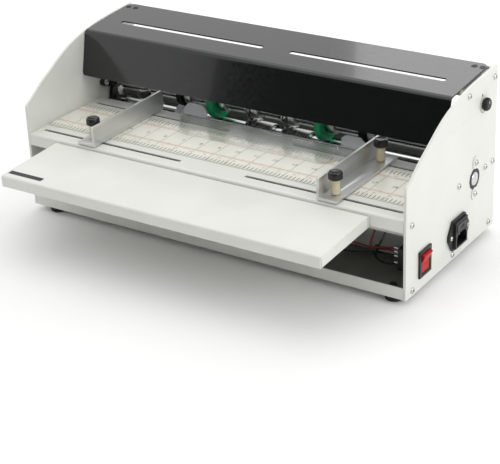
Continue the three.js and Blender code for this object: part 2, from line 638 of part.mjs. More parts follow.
// Wires held inside the machine from end to end.
const WIRES = {
  motor_wire_red: { color: COLORS.red, points: [
    [406.5, 158, 44], [380, 150, 26], [300, 128, 14], [206, 104, 12], [187, 92, 12], [186, 86, 11],
    [260, 58, 11], [350, 44, 24], [424, 42.5, 31], [446, 43.5, 29], [462, 43.5, 31.5], [481, 42, 32.5]] },
  motor_wire_black: { color: COLORS.black, points: [
    [406.5, 166, 44], [378, 156, 20], [298, 132, 7], [204, 106, 6.5], [187, 92, 7], [186, 86, 6.5],
    [260, 62, 4.5], [360, 48, 10], [424, 45, 19], [446, 45.5, 24], [462, 44.5, 26], [481, 42, 27.5]] },
  control_wire_red: { color: COLORS.red, points: [
    [487, 175, 150.5], [475, 160, 143], [467, 147, 126], [463, 145, 98], [459, 138, 79], [454, 90, 79],
    [450.5, 52, 70], [449, 41, 52], [446, 38, 34], [460, 39, 35.5], [481, 42, 37.5]] },
  control_wire_black: { color: COLORS.black, points: [
    [490, 185, 150.5], [486, 166, 143], [480, 148, 128], [477, 145, 100], [473, 138, 80], [467, 92, 79],
    [464, 52, 68], [461, 42, 51], [452.5, 41, 31], [450.5, 41, 21], [460, 41, 16.5], [481, 42, 19.5]] },
};

function wires() {
  for (const [name, { color, points }] of Object.entries(WIRES)) {
    piece(name, tube(points, WIRE_R), color, 0.5);
  }
}

// ---------------------------------------------------------------- assembly
sidePlates();
baseTray();
feet();
feedTable();
crossBeam();
deliveryPlate();
clearGuide();
frontTray();
sideGuide('left');
sideGuide('right');
upperShaft();
lowerShaft();
drive();
bearing('lower_bearing_left', 'left', LOWER_Z, true, true);
bearing('lower_bearing_right', 'right', LOWER_Z, true, true);
bearing('upper_bearing_left', 'left', UPPER_Z, false, false);
bearing('upper_bearing_right', 'right', UPPER_Z, false, false);
topCover();
coverRails();
rockerSwitch();
powerInlet();
speedControl();
controlBoard();
wires();

// the origin is the centre of the footprint, on the bench
const extent = new THREE.Box3().setFromObject(machine);
const centre = extent.getCenter(new THREE.Vector3());
machine.position.set(-centre.x, -centre.y, -extent.min.z);

const creaser = new THREE.Group();
creaser.add(machine);
export default creaser;
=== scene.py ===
import json
import math

import bmesh
import bpy
from mathutils import Matrix, Vector


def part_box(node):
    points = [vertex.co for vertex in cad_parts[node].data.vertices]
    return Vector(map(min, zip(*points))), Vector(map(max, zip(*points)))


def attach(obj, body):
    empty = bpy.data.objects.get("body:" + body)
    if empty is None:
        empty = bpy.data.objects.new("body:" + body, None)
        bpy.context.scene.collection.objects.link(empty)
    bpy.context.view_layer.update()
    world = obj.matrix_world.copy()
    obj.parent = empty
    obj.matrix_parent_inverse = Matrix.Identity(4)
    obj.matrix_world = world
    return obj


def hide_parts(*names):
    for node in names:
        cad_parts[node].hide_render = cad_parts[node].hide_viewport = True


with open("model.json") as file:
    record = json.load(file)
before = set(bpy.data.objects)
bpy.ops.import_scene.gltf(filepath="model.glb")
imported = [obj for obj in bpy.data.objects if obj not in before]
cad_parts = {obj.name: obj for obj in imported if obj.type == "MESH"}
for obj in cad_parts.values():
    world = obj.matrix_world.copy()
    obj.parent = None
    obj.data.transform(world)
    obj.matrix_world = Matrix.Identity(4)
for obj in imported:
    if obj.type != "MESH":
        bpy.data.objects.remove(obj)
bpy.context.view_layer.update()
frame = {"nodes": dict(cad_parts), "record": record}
nodes = frame["nodes"]
bodyOf = {}
for bodyName, bodyNodes in frame["record"]["behaviour"]["bodies"].items():
    for nodeName in bodyNodes:
        bodyOf[nodeName] = bodyName

# sizes below are in mm from the lower front corner of the left side plate
mm = 0.001
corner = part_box("left_side_plate")[0]


def at(x, y, z):
    return corner + Vector((x, y, z)) * mm


# ---- materials

def linear(code):
    parts = [int(code[i:i + 2], 16) / 255 for i in (1, 3, 5)]
    return tuple(c / 12.92 if c <= 0.04045 else ((c + 0.055) / 1.055) ** 2.4 for c in parts) + (1.0,)


def addNode(tree, kind, settings=None, links=None):
    node = tree.nodes.new(kind)
    for key, value in (settings or {}).items():
        if isinstance(key, int) or key in node.inputs:
            node.inputs[key].default_value = value
        else:
            setattr(node, key, value)
    for socket, source in (links or {}).items():
        tree.links.new(source, node.inputs[socket])
    return node


def newMaterial(name, color, roughness, metallic=0.0, **more):
    material = bpy.data.materials.new(name)
    material.use_nodes = True
    shader = material.node_tree.nodes["Principled BSDF"]
    shader.inputs["Base Color"].default_value = linear(color)
    shader.inputs["Roughness"].default_value = roughness
    shader.inputs["Metallic"].default_value = metallic
    for socket, value in more.items():
        shader.inputs[socket.replace("_", " ")].default_value = value
    material.diffuse_color = linear(color)
    return material


# a bump from noise of a real size: stretch is the grain's length along X, Y and Z and height its depth,
# both in mm; the same noise can spread the roughness and blend two tints
def addGrain(material, stretch, height, strength=1.0, detail=2.0, roughness=None, tint=None):
    tree = material.node_tree
    shader = tree.nodes["Principled BSDF"]
    place = addNode(tree, "ShaderNodeTexCoord")
    scaled = addNode(tree, "ShaderNodeMapping", {"Scale": [1000 / s for s in stretch]},
                     {"Vector": place.outputs["Object"]})
    noise = addNode(tree, "ShaderNodeTexNoise", {"Scale": 1.0, "Detail": detail},
                    {"Vector": scaled.outputs["Vector"]})
    bump = addNode(tree, "ShaderNodeBump", {"Strength": strength, "Distance": height * mm},
                   {"Height": noise.outputs["Fac"]})
    last = [link.from_socket for link in tree.links if link.to_socket == shader.inputs["Normal"]]
    if last:
        tree.links.new(last[0], bump.inputs["Normal"])
    tree.links.new(bump.outputs["Normal"], shader.inputs["Normal"])
    if roughness:
        spread = addNode(tree, "ShaderNodeMapRange",
                         {"From Min": 0.3, "From Max": 0.7, "To Min": roughness[0], "To Max": roughness[1]},
                         {"Value": noise.outputs["Fac"]})
        tree.links.new(spread.outputs["Result"], shader.inputs["Roughness"])
    if tint:
        ramp = addNode(tree, "ShaderNodeValToRGB", None, {"Fac": noise.outputs["Fac"]})
        ramp.color_ramp.elements[0].position = 0.3
        ramp.color_ramp.elements[1].position = 0.7
        ramp.color_ramp.elements[0].color = linear(tint[0])
        ramp.color_ramp.elements[1].color = linear(tint[1])
        tree.links.new(ramp.outputs["Color"], shader.inputs["Base Color"])
    return material


# powder coat: warm white, satin, with a faint orange peel (drawn 3 mm wide so that it shows)
powderCoatedSteel = newMaterial("powderCoatedSteel", "#DDDED8", 0.42)
addGrain(powderCoatedSteel, (60, 60, 60), 0.0, tint=("#DADBD4", "#DFE0DA"))
addGrain(powderCoatedSteel, (3, 3, 3), 0.05, 0.3, roughness=(0.28, 0.38))

# the same powder coat painted darker: painted shade for the bay's floor pan and the delivery plate's front,
# which lie in the shade of the machine
paintedShadeCoat = newMaterial("powderCoatPaintedShade", "#6E6F67", 0.5)
addGrain(paintedShadeCoat, (40, 40, 40), 0.0, tint=("#686961", "#77786F"))
addGrain(paintedShadeCoat, (3, 3, 3), 0.05, 0.3, roughness=(0.45, 0.55))

# sprayed gloss enamel: near black, deep and shiny, with a long soft waviness that bends reflections
glossEnamelledSteel = newMaterial("glossEnamelledSteel", "#151617", 0.12, Coat_Weight=0.35,
                                  Coat_Roughness=0.04)
addGrain(glossEnamelledSteel, (55, 55, 30), 0.10, 0.25, 1.0)
addGrain(glossEnamelledSteel, (4, 4, 4), 0.02, 0.25, roughness=(0.10, 0.17))

# extruded aluminium angle, brushed along its length: fine streaks that run front to back
brushedAluminium = newMaterial("brushedAluminium", "#DADBDA", 0.42, 1.0)
addGrain(brushedAluminium, (90, 240, 12), 0.0, tint=("#D0D1D0", "#E6E7E6"))
addGrain(brushedAluminium, (1.1, 70, 1.1), 0.05, 0.45, 3.0, roughness=(0.36, 0.5))

# ground and polished steel bar: bright, with faint rings round the axis
groundSteel = newMaterial("groundSteel", "#CDCFD0", 0.16, 1.0)
addGrain(groundSteel, (1.6, 60, 60), 0.02, 0.4, 2.0, roughness=(0.10, 0.22))

# turned steel for the creasing discs and collars: duller, with coarser tool rings
turnedSteel = newMaterial("turnedSteel", "#B4B5B3", 0.28, 1.0)
addGrain(turnedSteel, (1.2, 40, 40), 0.04, 0.5, 2.0, roughness=(0.2, 0.36))

# turned aluminium collars: light and slightly milky
turnedAluminium = newMaterial("turnedAluminium", "#D6D7D5", 0.33, 1.0)
addGrain(turnedAluminium, (1.2, 40, 40), 0.03, 0.5, 2.0, roughness=(0.28, 0.4))

# nickel-plated screws and washers: small and bright
nickelPlated = newMaterial("nickelPlatedSteel", "#C9CAC6", 0.22, 1.0)
addGrain(nickelPlated, (2, 2, 2), 0.02, 0.4, roughness=(0.18, 0.3))

# zinc-plated sheet: grey with a faint yellow and blue drift
zincPlated = newMaterial("zincPlatedSteel", "#A6A7A0", 0.38, 1.0)
addGrain(zincPlated, (18, 18, 18), 0.0, tint=("#A3A08E", "#A9ADB2"))
addGrain(zincPlated, (1.5, 1.5, 1.5), 0.03, 0.4, roughness=(0.3, 0.45))

# blackened cast bearing blocks, slightly rough
castIronPainted = newMaterial("paintedCastIron", "#1B1C1D", 0.5)
addGrain(castIronPainted, (2.2, 2.2, 2.2), 0.12, 0.6, roughness=(0.42, 0.6))

# cast polyurethane: saturated green with a satin skin
castUrethane = newMaterial("castPolyurethane", "#12A56B", 0.38, Specular_IOR_Level=0.45)
addGrain(castUrethane, (6, 6, 6), 0.03, 0.4, tint=("#0F9C64", "#17AE73"), roughness=(0.32, 0.46))

# moulded rubber: black, matt
mouldedRubber = newMaterial("mouldedRubber", "#141516", 0.75)
addGrain(mouldedRubber, (2, 2, 2), 0.05, 0.5, roughness=(0.68, 0.82))

# turned nylon: bright white, softly lit from inside
whiteNylon = newMaterial("turnedNylon", "#F1F1F2", 0.45, Subsurface_Weight=0.15, Subsurface_Scale=2 * mm)
addGrain(whiteNylon, (1.5, 30, 30), 0.02, 0.4)

# natural nylon spacers: cream and a little see-through
creamNylon = newMaterial("naturalNylon", "#D9CEB0", 0.36, Subsurface_Weight=0.35, Subsurface_Scale=3 * mm)
addGrain(creamNylon, (8, 8, 14), 0.02, 0.4, tint=("#CFC3A2", "#E0D6BC"))

# moulded ABS: black with a very fine spark texture
mouldedAbs = newMaterial("mouldedAbs", "#131415", 0.42)
addGrain(mouldedAbs, (1.2, 1.2, 1.2), 0.03, 0.45, roughness=(0.36, 0.5))

# moulded phenolic knobs: black and glossy, like a polished shell
glossPhenolic = newMaterial("glossPhenolic", "#0D0E0F", 0.2, Coat_Weight=0.3, Coat_Roughness=0.08)
addGrain(glossPhenolic, (5, 5, 5), 0.02, 0.3, roughness=(0.15, 0.27))

# moulded red polycarbonate: deep clean red with a soft sheen
redPolycarbonate = newMaterial("redPolycarbonate", "#AF0B0F", 0.32, Specular_IOR_Level=0.22,
                               Subsurface_Weight=0.1, Subsurface_Scale=1 * mm)
addGrain(redPolycarbonate, (12, 12, 12), 0.0, tint=("#A50A0D", "#B90D11"))

# clear acrylic sheet: see-through with a faint grey tint and hard highlights
clearAcrylic = newMaterial("clearAcrylic", "#E9EFEC", 0.03, IOR=1.49, Transmission_Weight=1.0, Alpha=0.28)
addGrain(clearAcrylic, (90, 90, 90), 0.0, tint=("#E6EDEA", "#ECF1EE"))
# its raised ends get a whiter, less clear copy: a painted sheen that stands in for the light they reflect
acrylicPaintedSheen = newMaterial("acrylicPaintedSheen", "#E4E4EA", 0.45, Alpha=0.8)
addGrain(acrylicPaintedSheen, (2, 2, 2), 0.02, 0.3, tint=("#DEDEE6", "#EAEAEE"))

# laminated printed scale: off-white paper under a clear film
printedFilm = newMaterial("laminatedScale", "#E6E6DA", 0.3, Coat_Weight=0.25, Coat_Roughness=0.12)
addGrain(printedFilm, (35, 35, 35), 0.0, tint=("#DEDDD0", "#E6E6DB"))
addGrain(printedFilm, (1, 1, 1), 0.01, 0.3, roughness=(0.26, 0.36))
# screen-printed inks: matt and slightly uneven, the black worn to a dark olive
inkBlack = newMaterial("printedInkBlack", "#4A4D42", 0.4)
addGrain(inkBlack, (0.8, 0.8, 0.8), 0.0, tint=("#42453B", "#565A4D"))
inkRed = newMaterial("printedInkRed", "#CB7A72", 0.4)
addGrain(inkRed, (0.8, 0.8, 0.8), 0.0, tint=("#C26A62", "#D48A82"))
inkWhite = newMaterial("padPrintedWhite", "#EFEFEC", 0.45)
addGrain(inkWhite, (0.6, 0.6, 0.6), 0.0, tint=("#E5E5E2", "#F5F5F2"))

# solder mask: green and slightly glossy
solderMask = newMaterial("solderMaskedBoard", "#1D5C3A", 0.35)
addGrain(solderMask, (3, 1, 3), 0.02, 0.3, tint=("#17502F", "#256A46"))

# extruded PVC on the wires: smooth, evenly coloured and a little waxy
redPvc = newMaterial("extrudedPvcRed", "#74121A", 0.35)
addGrain(redPvc, (20, 20, 20), 0.0, tint=("#68101A", "#80181E"))
blackPvc = newMaterial("extrudedPvcBlack", "#111212", 0.35)
addGrain(blackPvc, (20, 20, 20), 0.0, tint=("#0D0E0E", "#161717"))
print("materials ready")


# ---- making and finishing pieces

scene = bpy.context.scene


def meshFrom(name, made, outward=False):
    if outward:
        bmesh.ops.recalc_face_normals(made, faces=made.faces)
    mesh = bpy.data.meshes.new(name)
    made.to_mesh(mesh)
    made.free()
    return mesh


def newObject(name, mesh, material=None):
    made = bpy.data.objects.new(name, mesh)
    scene.collection.objects.link(made)
    if material:
        mesh.materials.clear()
        mesh.materials.append(material)
    return made


def smoothed(mesh, angle=32):
    mesh.shade_smooth()
    mesh.set_sharp_from_angle(angle=math.radians(angle))
    return mesh


# says which body a piece rides on and hides the CAD nodes that it stands in for
def finishPiece(made, body, stands=()):
    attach(made, body)
    if stands:
        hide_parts(*stands)
    return made


def addPiece(name, mesh, material, body, stands=()):
    return finishPiece(newObject(name, mesh, material), body, stands)


def cleanCopy(node):
    made = bmesh.new()
    made.from_mesh(nodes[node].data)
    bmesh.ops.remove_doubles(made, verts=made.verts, dist=mm / 1000)
    flat = math.radians(0.8)
    bmesh.ops.dissolve_limit(made, angle_limit=flat, verts=made.verts, edges=made.edges)
    return meshFrom(node, made)


# the CAD shape with its edges eased, as a bent and coated or moulded part has them
def eased(name, node, material, width, segments=2, angle=28):
    made = newObject(name, smoothed(cleanCopy(node)), material)
    bevel = made.modifiers.new("eased", "BEVEL")
    bevel.width = width * mm
    bevel.segments = segments
    bevel.limit_method = "ANGLE"
    bevel.angle_limit = math.radians(angle)
    bevel.use_clamp_overlap = True
    bevel.harden_normals = True
    bevel.miter_outer = "MITER_ARC"
    return finishPiece(made, bodyOf[node], [node])


# gives the faces that a test picks a second material
def repaint(made, material, test):
    made.data.materials.append(material)
    for face in made.data.polygons:
        if test((face.center - corner) / mm, face.normal):
            face.material_index = len(made.data.materials) - 1


# joins rings of points into one skin; a ring of a single point makes a flat or pointed end
def skin(made, rings, steps, closed=False):
    pairs = list(zip(rings, rings[1:])) + ([(rings[-1], rings[0])] if closed else [])
    for one, two in pairs:
        for i in range(steps):
            j = (i + 1) % steps
            corners = [one[i % len(one)], one[j % len(one)], two[j % len(two)], two[i % len(two)]]
            corners = [c for k, c in enumerate(corners) if c not in corners[:k]]
            if len(corners) > 2:
                made.faces.new(corners)


def circle(radius, steps):
    turns = [2 * math.pi * i / steps for i in range(steps if radius > 0 else 1)]
    return [(radius * math.cos(t), radius * math.sin(t)) for t in turns]


# a turned shape: points are (along, radius) in mm, about an axis through (a, b)
def turnedMesh(name, points, axis, a, b, steps=72, closed=False):
    made = bmesh.new()
    rings = []
    for along, radius in points:
        spots = [(a + u, b + v) for u, v in circle(radius, steps)]
        rings.append([made.verts.new(at(along, u, v) if axis == "x" else at(u, v, along)) for u, v in spots])
    skin(made, rings, steps, closed)
    return smoothed(meshFrom(name, made, True))


def turned(name, points, axis, a, b, material, body, stands=(), steps=72, closed=False):
    mesh = turnedMesh(name, points, axis, a, b, steps, closed)
    return addPiece(name, mesh, material, body, stands)


# the outline of a ring between two planes: its outer corners are eased and its bore is chamfered
def ringPoints(start, end, inner, outer, ease, chamfer=0.3):
    near = 0.3 * ease
    return [(start, inner + chamfer), (start, outer - ease), (start + near, outer - near),
            (start + ease, outer), ((start + end) / 2, outer), (end - ease, outer),
            (end - near, outer - near), (end, outer - ease), (end, inner + chamfer),
            (end - chamfer, inner), (start + chamfer, inner)]


# ---- Geometry Nodes: one tree for each way in which things repeat

def newTree(name, inputs):
    tree = bpy.data.node_groups.new(name, "GeometryNodeTree")
    tree.interface.new_socket("Geometry", in_out="INPUT", socket_type="NodeSocketGeometry")
    ids = {}
    for label, kind in inputs:
        ids[label] = tree.interface.new_socket(label, in_out="INPUT", socket_type=kind).identifier
    tree.interface.new_socket("Geometry", in_out="OUTPUT", socket_type="NodeSocketGeometry")
    return tree, ids, addNode(tree, "NodeGroupInput").outputs


def endTree(tree, start, shape):
    real = addNode(tree, "GeometryNodeRealizeInstances", None, {"Geometry": shape})
    coat = addNode(tree, "GeometryNodeSetMaterial", None,
                   {"Geometry": real.outputs[0], "Material": start["Material"]})
    addNode(tree, "NodeGroupOutput", None, {0: coat.outputs[0]})


# copies of one part on marked points; each point's aim turns the part's Z, and the seed spins it
def scatterTree():
    tree, ids, start = newTree("partsOnPoints", [
        ("Part", "NodeSocketObject"), ("Size", "NodeSocketFloat"), ("Spin", "NodeSocketFloat"),
        ("Seed", "NodeSocketInt"), ("Material", "NodeSocketMaterial")])
    part = addNode(tree, "GeometryNodeObjectInfo", None, {"Object": start["Part"]})
    aim = addNode(tree, "GeometryNodeInputNamedAttribute", {"data_type": "FLOAT_VECTOR", "Name": "aim"})
    spin = addNode(tree, "FunctionNodeRandomValue", {"data_type": "FLOAT"},
                   {3: start["Spin"], "Seed": start["Seed"]})
    turn = addNode(tree, "ShaderNodeCombineXYZ", None, {"Z": spin.outputs[1]})
    first = addNode(tree, "FunctionNodeEulerToRotation", None, {0: aim.outputs["Attribute"]})
    second = addNode(tree, "FunctionNodeEulerToRotation", None, {0: turn.outputs[0]})
    both = addNode(tree, "FunctionNodeRotateRotation", {"rotation_space": "LOCAL"},
                   {0: first.outputs[0], 1: second.outputs[0]})
    placed = addNode(tree, "GeometryNodeInstanceOnPoints", None, {
        "Points": start["Geometry"], "Instance": part.outputs["Geometry"],
        "Rotation": both.outputs[0], "Scale": start["Size"]})
    endTree(tree, start, placed.outputs[0])
    return tree, ids


# a row of small bars, such as scale marks
def rowTree():
    tree, ids, start = newTree("barsInARow", [
        ("Start", "NodeSocketVector"), ("Step", "NodeSocketVector"), ("Count", "NodeSocketInt"),
        ("Bar size", "NodeSocketVector"), ("Material", "NodeSocketMaterial")])
    line = addNode(tree, "GeometryNodeMeshLine", {"mode": "OFFSET"},
                   {"Count": start["Count"], "Start Location": start["Start"], "Offset": start["Step"]})
    bar = addNode(tree, "GeometryNodeMeshCube", None, {"Size": start["Bar size"]})
    placed = addNode(tree, "GeometryNodeInstanceOnPoints", None,
                     {"Points": line.outputs[0], "Instance": bar.outputs[0]})
    endTree(tree, start, placed.outputs[0])
    return tree, ids


# ribs round a circle, such as the knurl of a knob
def ribTree():
    tree, ids, start = newTree("ribsRoundACircle", [
        ("Radius", "NodeSocketFloat"), ("Count", "NodeSocketInt"), ("Rib radius", "NodeSocketFloat"),
        ("Length", "NodeSocketFloat"), ("Centre", "NodeSocketVector"), ("Turn", "NodeSocketVector"),
        ("Material", "NodeSocketMaterial")])
    ring = addNode(tree, "GeometryNodeMeshCircle", None,
                   {"Vertices": start["Count"], "Radius": start["Radius"]})
    rib = addNode(tree, "GeometryNodeMeshCylinder", {"Vertices": 8},
                  {"Radius": start["Rib radius"], "Depth": start["Length"]})
    placed = addNode(tree, "GeometryNodeInstanceOnPoints", None,
                     {"Points": ring.outputs[0], "Instance": rib.outputs["Mesh"]})
    moved = addNode(tree, "GeometryNodeTransform", None, {
        "Geometry": placed.outputs[0], "Translation": start["Centre"], "Rotation": start["Turn"]})
    endTree(tree, start, moved.outputs[0])
    return tree, ids


# a round wire along a line of points
def wireTree():
    tree, ids, start = newTree("wireAlongAPath", [
        ("Radius", "NodeSocketFloat"), ("Sides", "NodeSocketInt"), ("Material", "NodeSocketMaterial")])
    path = addNode(tree, "GeometryNodeMeshToCurve", None, {"Mesh": start["Geometry"]})
    section = addNode(tree, "GeometryNodeCurvePrimitiveCircle", None,
                      {"Resolution": start["Sides"], "Radius": start["Radius"]})
    skin = addNode(tree, "GeometryNodeCurveToMesh", {"Fill Caps": True},
                   {"Curve": path.outputs[0], "Profile Curve": section.outputs["Curve"]})
    soft = addNode(tree, "GeometryNodeSetShadeSmooth", None, {"Geometry": skin.outputs[0]})
    endTree(tree, start, soft.outputs[0])
    return tree, ids


scatter, bars, ribs, wire = scatterTree(), rowTree(), ribTree(), wireTree()


# runs a tree and keeps the result as a plain mesh
def grown(name, kit, values, base=None):
    tree, ids = kit
    holder = bpy.data.objects.new(name, base or bpy.data.meshes.new(name))
    scene.collection.objects.link(holder)
    modifier = holder.modifiers.new("nodes", "NODES")
    modifier.node_group = tree
    for label, value in values.items():
        modifier[ids[label]] = value
    graph = bpy.context.evaluated_depsgraph_get()
    mesh = bpy.data.meshes.new_from_object(holder.evaluated_get(graph), depsgraph=graph)
    bpy.data.objects.remove(holder)
    mesh.name = name
    return mesh


def joinedMesh(name, meshes):
    made = bmesh.new()
    for mesh in meshes:
        made.from_mesh(mesh)
    return meshFrom(name, made)


# marked points: each is a place and the direction its part's Z points to
def markedPoints(name, marks):
    mesh = bpy.data.meshes.new(name)
    mesh.from_pydata([place for place, aim in marks], [], [])
    aims = mesh.attributes.new("aim", "FLOAT_VECTOR", "POINT")
    for i, (place, aim) in enumerate(marks):
        aims.data[i].vector = Vector(aim).to_track_quat("Z", "Y").to_euler()
    return mesh


# the size scales the master part, and each copy is spun by up to the spin, in radians
def scattered(name, part, marks, material, body, size=1.0, spin=0.0, seed=3):
    values = {"Part": part, "Size": size * mm, "Spin": spin, "Seed": seed, "Material": material}
    mesh = grown(name, scatter, values, markedPoints(name, marks))
    return addPiece(name, smoothed(mesh), material, body)


# a master part in mm, standing on Z at the origin; it isn't shown itself
def master(name, points, steps, cut=None):
    made = bmesh.new()
    rings = [[made.verts.new((x, y, z)) for x, y in circle(radius, steps)] for z, radius in points]
    skin(made, rings, steps)
    part = newObject(name, meshFrom(name, made, True))
    if cut:
        tool = newObject("cutter", cut)
        bite = part.modifiers.new("cut", "BOOLEAN")
        bite.operation = "DIFFERENCE"
        bite.solver = "EXACT"
        bite.object = tool
        graph = bpy.context.evaluated_depsgraph_get()
        result = bpy.data.meshes.new_from_object(part.evaluated_get(graph), depsgraph=graph)
        part.modifiers.clear()
        part.data = result
        bpy.data.objects.remove(tool)
    part.hide_render = True
    masters.append(part)
    return part


masters = []


def prismMesh(name, outline, low, high):
    made = bmesh.new()
    face = made.faces.new([made.verts.new((x, y, low)) for x, y in outline])
    raised = bmesh.ops.extrude_face_region(made, geom=[face])
    for item in raised["geom"]:
        if isinstance(item, bmesh.types.BMVert):
            item.co.z = high
    return meshFrom(name, made, True)


# the cross recess of a screw, from its floor to just over the head
def crossRecess(arm, width, low, high):
    a, w = arm, width
    outline = [(a, -w), (a, w), (w, w), (w, a), (-w, a), (-w, w), (-a, w), (-a, -w), (-w, -w), (-w, -a),
               (w, -a), (w, -w)]
    return prismMesh("recess", outline, low, high)


# outlines are (height, radius) in mm
screwSizes = {
    "panHead": [(0, 0), (0, 3.5), (0.735, 3.5), (1.47, 3.01), (1.953, 2.1), (2.1, 1.05), (2.1, 0)],
    "panRecess": {"arm": 2.0, "width": 0.42, "low": 0.8, "high": 3.1},
    "flatHead": [(-1.2, 0), (-1.2, 1.8), (0, 3.6), (0.25, 3.6), (0.3, 3.3), (0.3, 0)],
    "flatRecess": {"arm": 2.0, "width": 0.45, "low": -0.7, "high": 1},
    "hexHead": [(0, 0), (0, 4.2), (2.4, 4.2), (2.9, 3.6), (2.9, 0)],
    "washer": [(0, 0), (0, 7.3), (0.5, 7.6), (1.0, 7.3), (1.05, 0)],
    "setScrewHole": [(0, 0), (0, 1.9), (0.25, 1.7), (0.25, 0)],
    "crimp": [(0, 0), (0, 1.5), (1, 1.9), (9, 1.9), (10, 1.4), (10, 0)]}
panScrew = master("panScrew", screwSizes["panHead"], 24, crossRecess(**screwSizes["panRecess"]))
flatScrew = master("flatScrew", screwSizes["flatHead"], 24, crossRecess(**screwSizes["flatRecess"]))
hexHead = master("hexHead", screwSizes["hexHead"], 6)
roundWasher = master("roundWasher", screwSizes["washer"], 32)
setScrewHole = master("setScrewHole", screwSizes["setScrewHole"], 16)
crimp = master("crimp", screwSizes["crimp"], 12)
print("trees and master parts ready")


# ---- sheet metal

# each piece with its CAD node, its finish and how far its edges are eased
sheetSizes = {
    "leftSidePlate": ("left_side_plate", powderCoatedSteel, 0.35),
    "rightSidePlate": ("right_side_plate", powderCoatedSteel, 0.35),
    "basePan": ("base_tray", powderCoatedSteel, 0.3),
    "feedTable": ("feed_table", powderCoatedSteel, 0.25),
    "crossBeam": ("table_cross_beam", powderCoatedSteel, 0.25),
    "deliveryPlate": ("delivery_plate", powderCoatedSteel, 0.25),
    "frontTray": ("front_tray", powderCoatedSteel, 0.3),
    "coverRailLeft": ("cover_rail_left", powderCoatedSteel, 0.15),
    "coverRailRight": ("cover_rail_right", powderCoatedSteel, 0.15),
    "topCover": ("top_cover", glossEnamelledSteel, 0.25),
    "clearHoldDown": ("clear_paper_guide", clearAcrylic, 0.25)}
sheets = {name: eased(name, *sizes) for name, sizes in sheetSizes.items()}

# where the painted shade and the painted sheen begin: painted shade on the pan's floor and on the delivery
# plate's front, painted sheen on the hold-down's raised ends
paintSizes = {"panFloor": 3, "tabs": 96.7, "plateFront": 190}
repaint(sheets["basePan"], paintedShadeCoat,
        lambda place, facing: facing.z > 0.9 and place.z < paintSizes["panFloor"])
repaint(sheets["clearHoldDown"], acrylicPaintedSheen, lambda place, facing: place.z > paintSizes["tabs"])
repaint(sheets["deliveryPlate"], paintedShadeCoat, lambda place, facing: place.y < paintSizes["plateFront"])
print("sheet metal ready")

# ---- side guides, spacers and knobs

guideSizes = {
    "postX": [87.9, 414.5], "postY": [18, 118.5], "base": 97.8, "postHeight": 16.6, "postRadius": 5,
    "studRadius": 1.6, "studOver": 6.5, "ease": 0.4,
    "nut": [(88.6, 0), (88.6, 4.2), (88.9, 4.5), (91.5, 4.5), (91.8, 4.2)],
    "knobRadius": 8, "knobHeight": 9.2, "knobGap": 0.3, "ribs": 28, "ribRadius": 0.62, "angleEase": 0.3}


def guideKnob(name, x, y, body, node):
    g = guideSizes
    low = g["base"] + g["postHeight"] + g["knobGap"]
    high = low + g["knobHeight"]
    core = g["knobRadius"] - 0.45
    shape = turnedMesh(name, [
        (low, 2.2), (low, core - 0.8), (low + 0.8, core), (high - 1.6, core), (high - 0.5, core - 0.5),
        (high, core - 1.5), (high - 0.6, core - 2.8), (high - 1.0, 2.6), (high - 1.1, 0), (high - 2.4, 0),
        (high - 2.4, 2.2)], "z", x, y, 64)
    grip = grown(name + "Grip", ribs, {
        "Radius": (core - 0.1) * mm, "Count": g["ribs"], "Rib radius": g["ribRadius"] * mm,
        "Length": (g["knobHeight"] - 2.8) * mm, "Centre": at(x, y, (low + high) / 2 - 0.4),
        "Turn": (0, 0, 0), "Material": glossPhenolic})
    whole = smoothed(joinedMesh(name, [shape, grip]), 40)
    return addPiece(name, whole, glossPhenolic, body, [node])


# the cream spacer with its nut under the table and its stud through both
def guideSpacer(name, x, y, body, node):
    g = guideSizes
    base, top = g["base"], g["base"] + g["postHeight"]
    post, stud, ease = g["postRadius"], g["studRadius"], g["ease"]
    end = top + g["studOver"]
    turned(name, g["nut"] + [
        (g["nut"][-1][0], stud), (base, stud), (base, post - ease), (base + ease, post), (top - ease, post),
        (top, post - ease), (top, stud), (end - ease, stud), (end, stud - ease), (end, 0)],
        "z", x, y, creamNylon, body, [node], 48)


for side, x in zip(("left", "right"), guideSizes["postX"]):
    eased(f"{side}GuideAngle", f"{side}_guide", brushedAluminium, guideSizes["angleEase"])
    for where, y in zip(("front", "rear"), guideSizes["postY"]):
        end = where.title()
        guideSpacer(f"{side}Spacer{end}", x, y, f"{side}_guide", f"{side}_guide_post_{where}")
        guideKnob(f"{side}Knob{end}", x, y, f"{side}_knob_{where}", f"{side}_guide_knob_{where}")
print("side guides ready")

# ---- printed scale

# a row of marks is its pitch, count, width and length; edge rows start with their distance from the edge and
# the red line with its middle
scaleSizes = {
    "y0": 32, "y1": 107.5, "top": 94.21, "thick": 0.03, "inchZero": 5.8, "inch": 25.4, "inches": 19,
    "edgeRows": [(2.2, 2.5, 199, 0.3, 3.0), (4.7, 5, 100, 0.95, 8.6)], "inchLine": 0.42, "inchLineShort": 3,
    "numberRow": 66.6, "numberBack": 4.2, "numberHeight": 5.2,
    "red": [51.4, 89.8], "redLine": (254, 1, 1, 496, 0.32),
    "redRows": [(25.4 / 16, 313, 0.3, 4.6), (25.4 / 2, 40, 0.5, 6.4)],
    "smallRows": [44.2, 93.4], "smallStep": 10, "smallHeight": 3.0}


def markRow(x, y, pitch, count, width, length):
    s = scaleSizes
    return grown("marks", bars, {
        "Start": at(x, y, s["top"] + s["thick"] / 2), "Step": (pitch * mm, 0, 0), "Count": count,
        "Bar size": (width * mm, length * mm, s["thick"] * mm), "Material": inkBlack})


def numberMesh(text, x, y, height):
    words = bpy.data.curves.new("number", "FONT")
    words.body = text
    words.size = height * 1.35 * mm  # the font's capitals are about three quarters of its size
    words.align_x = "CENTER"
    words.extrude = scaleSizes["thick"] / 2 * mm
    holder = bpy.data.objects.new("number", words)
    scene.collection.objects.link(holder)
    graph = bpy.context.evaluated_depsgraph_get()
    mesh = bpy.data.meshes.new_from_object(holder.evaluated_get(graph), depsgraph=graph)
    bpy.data.objects.remove(holder)
    mesh.transform(Matrix.Translation(at(x, y, scaleSizes["top"] + scaleSizes["thick"] / 2)))
    return mesh


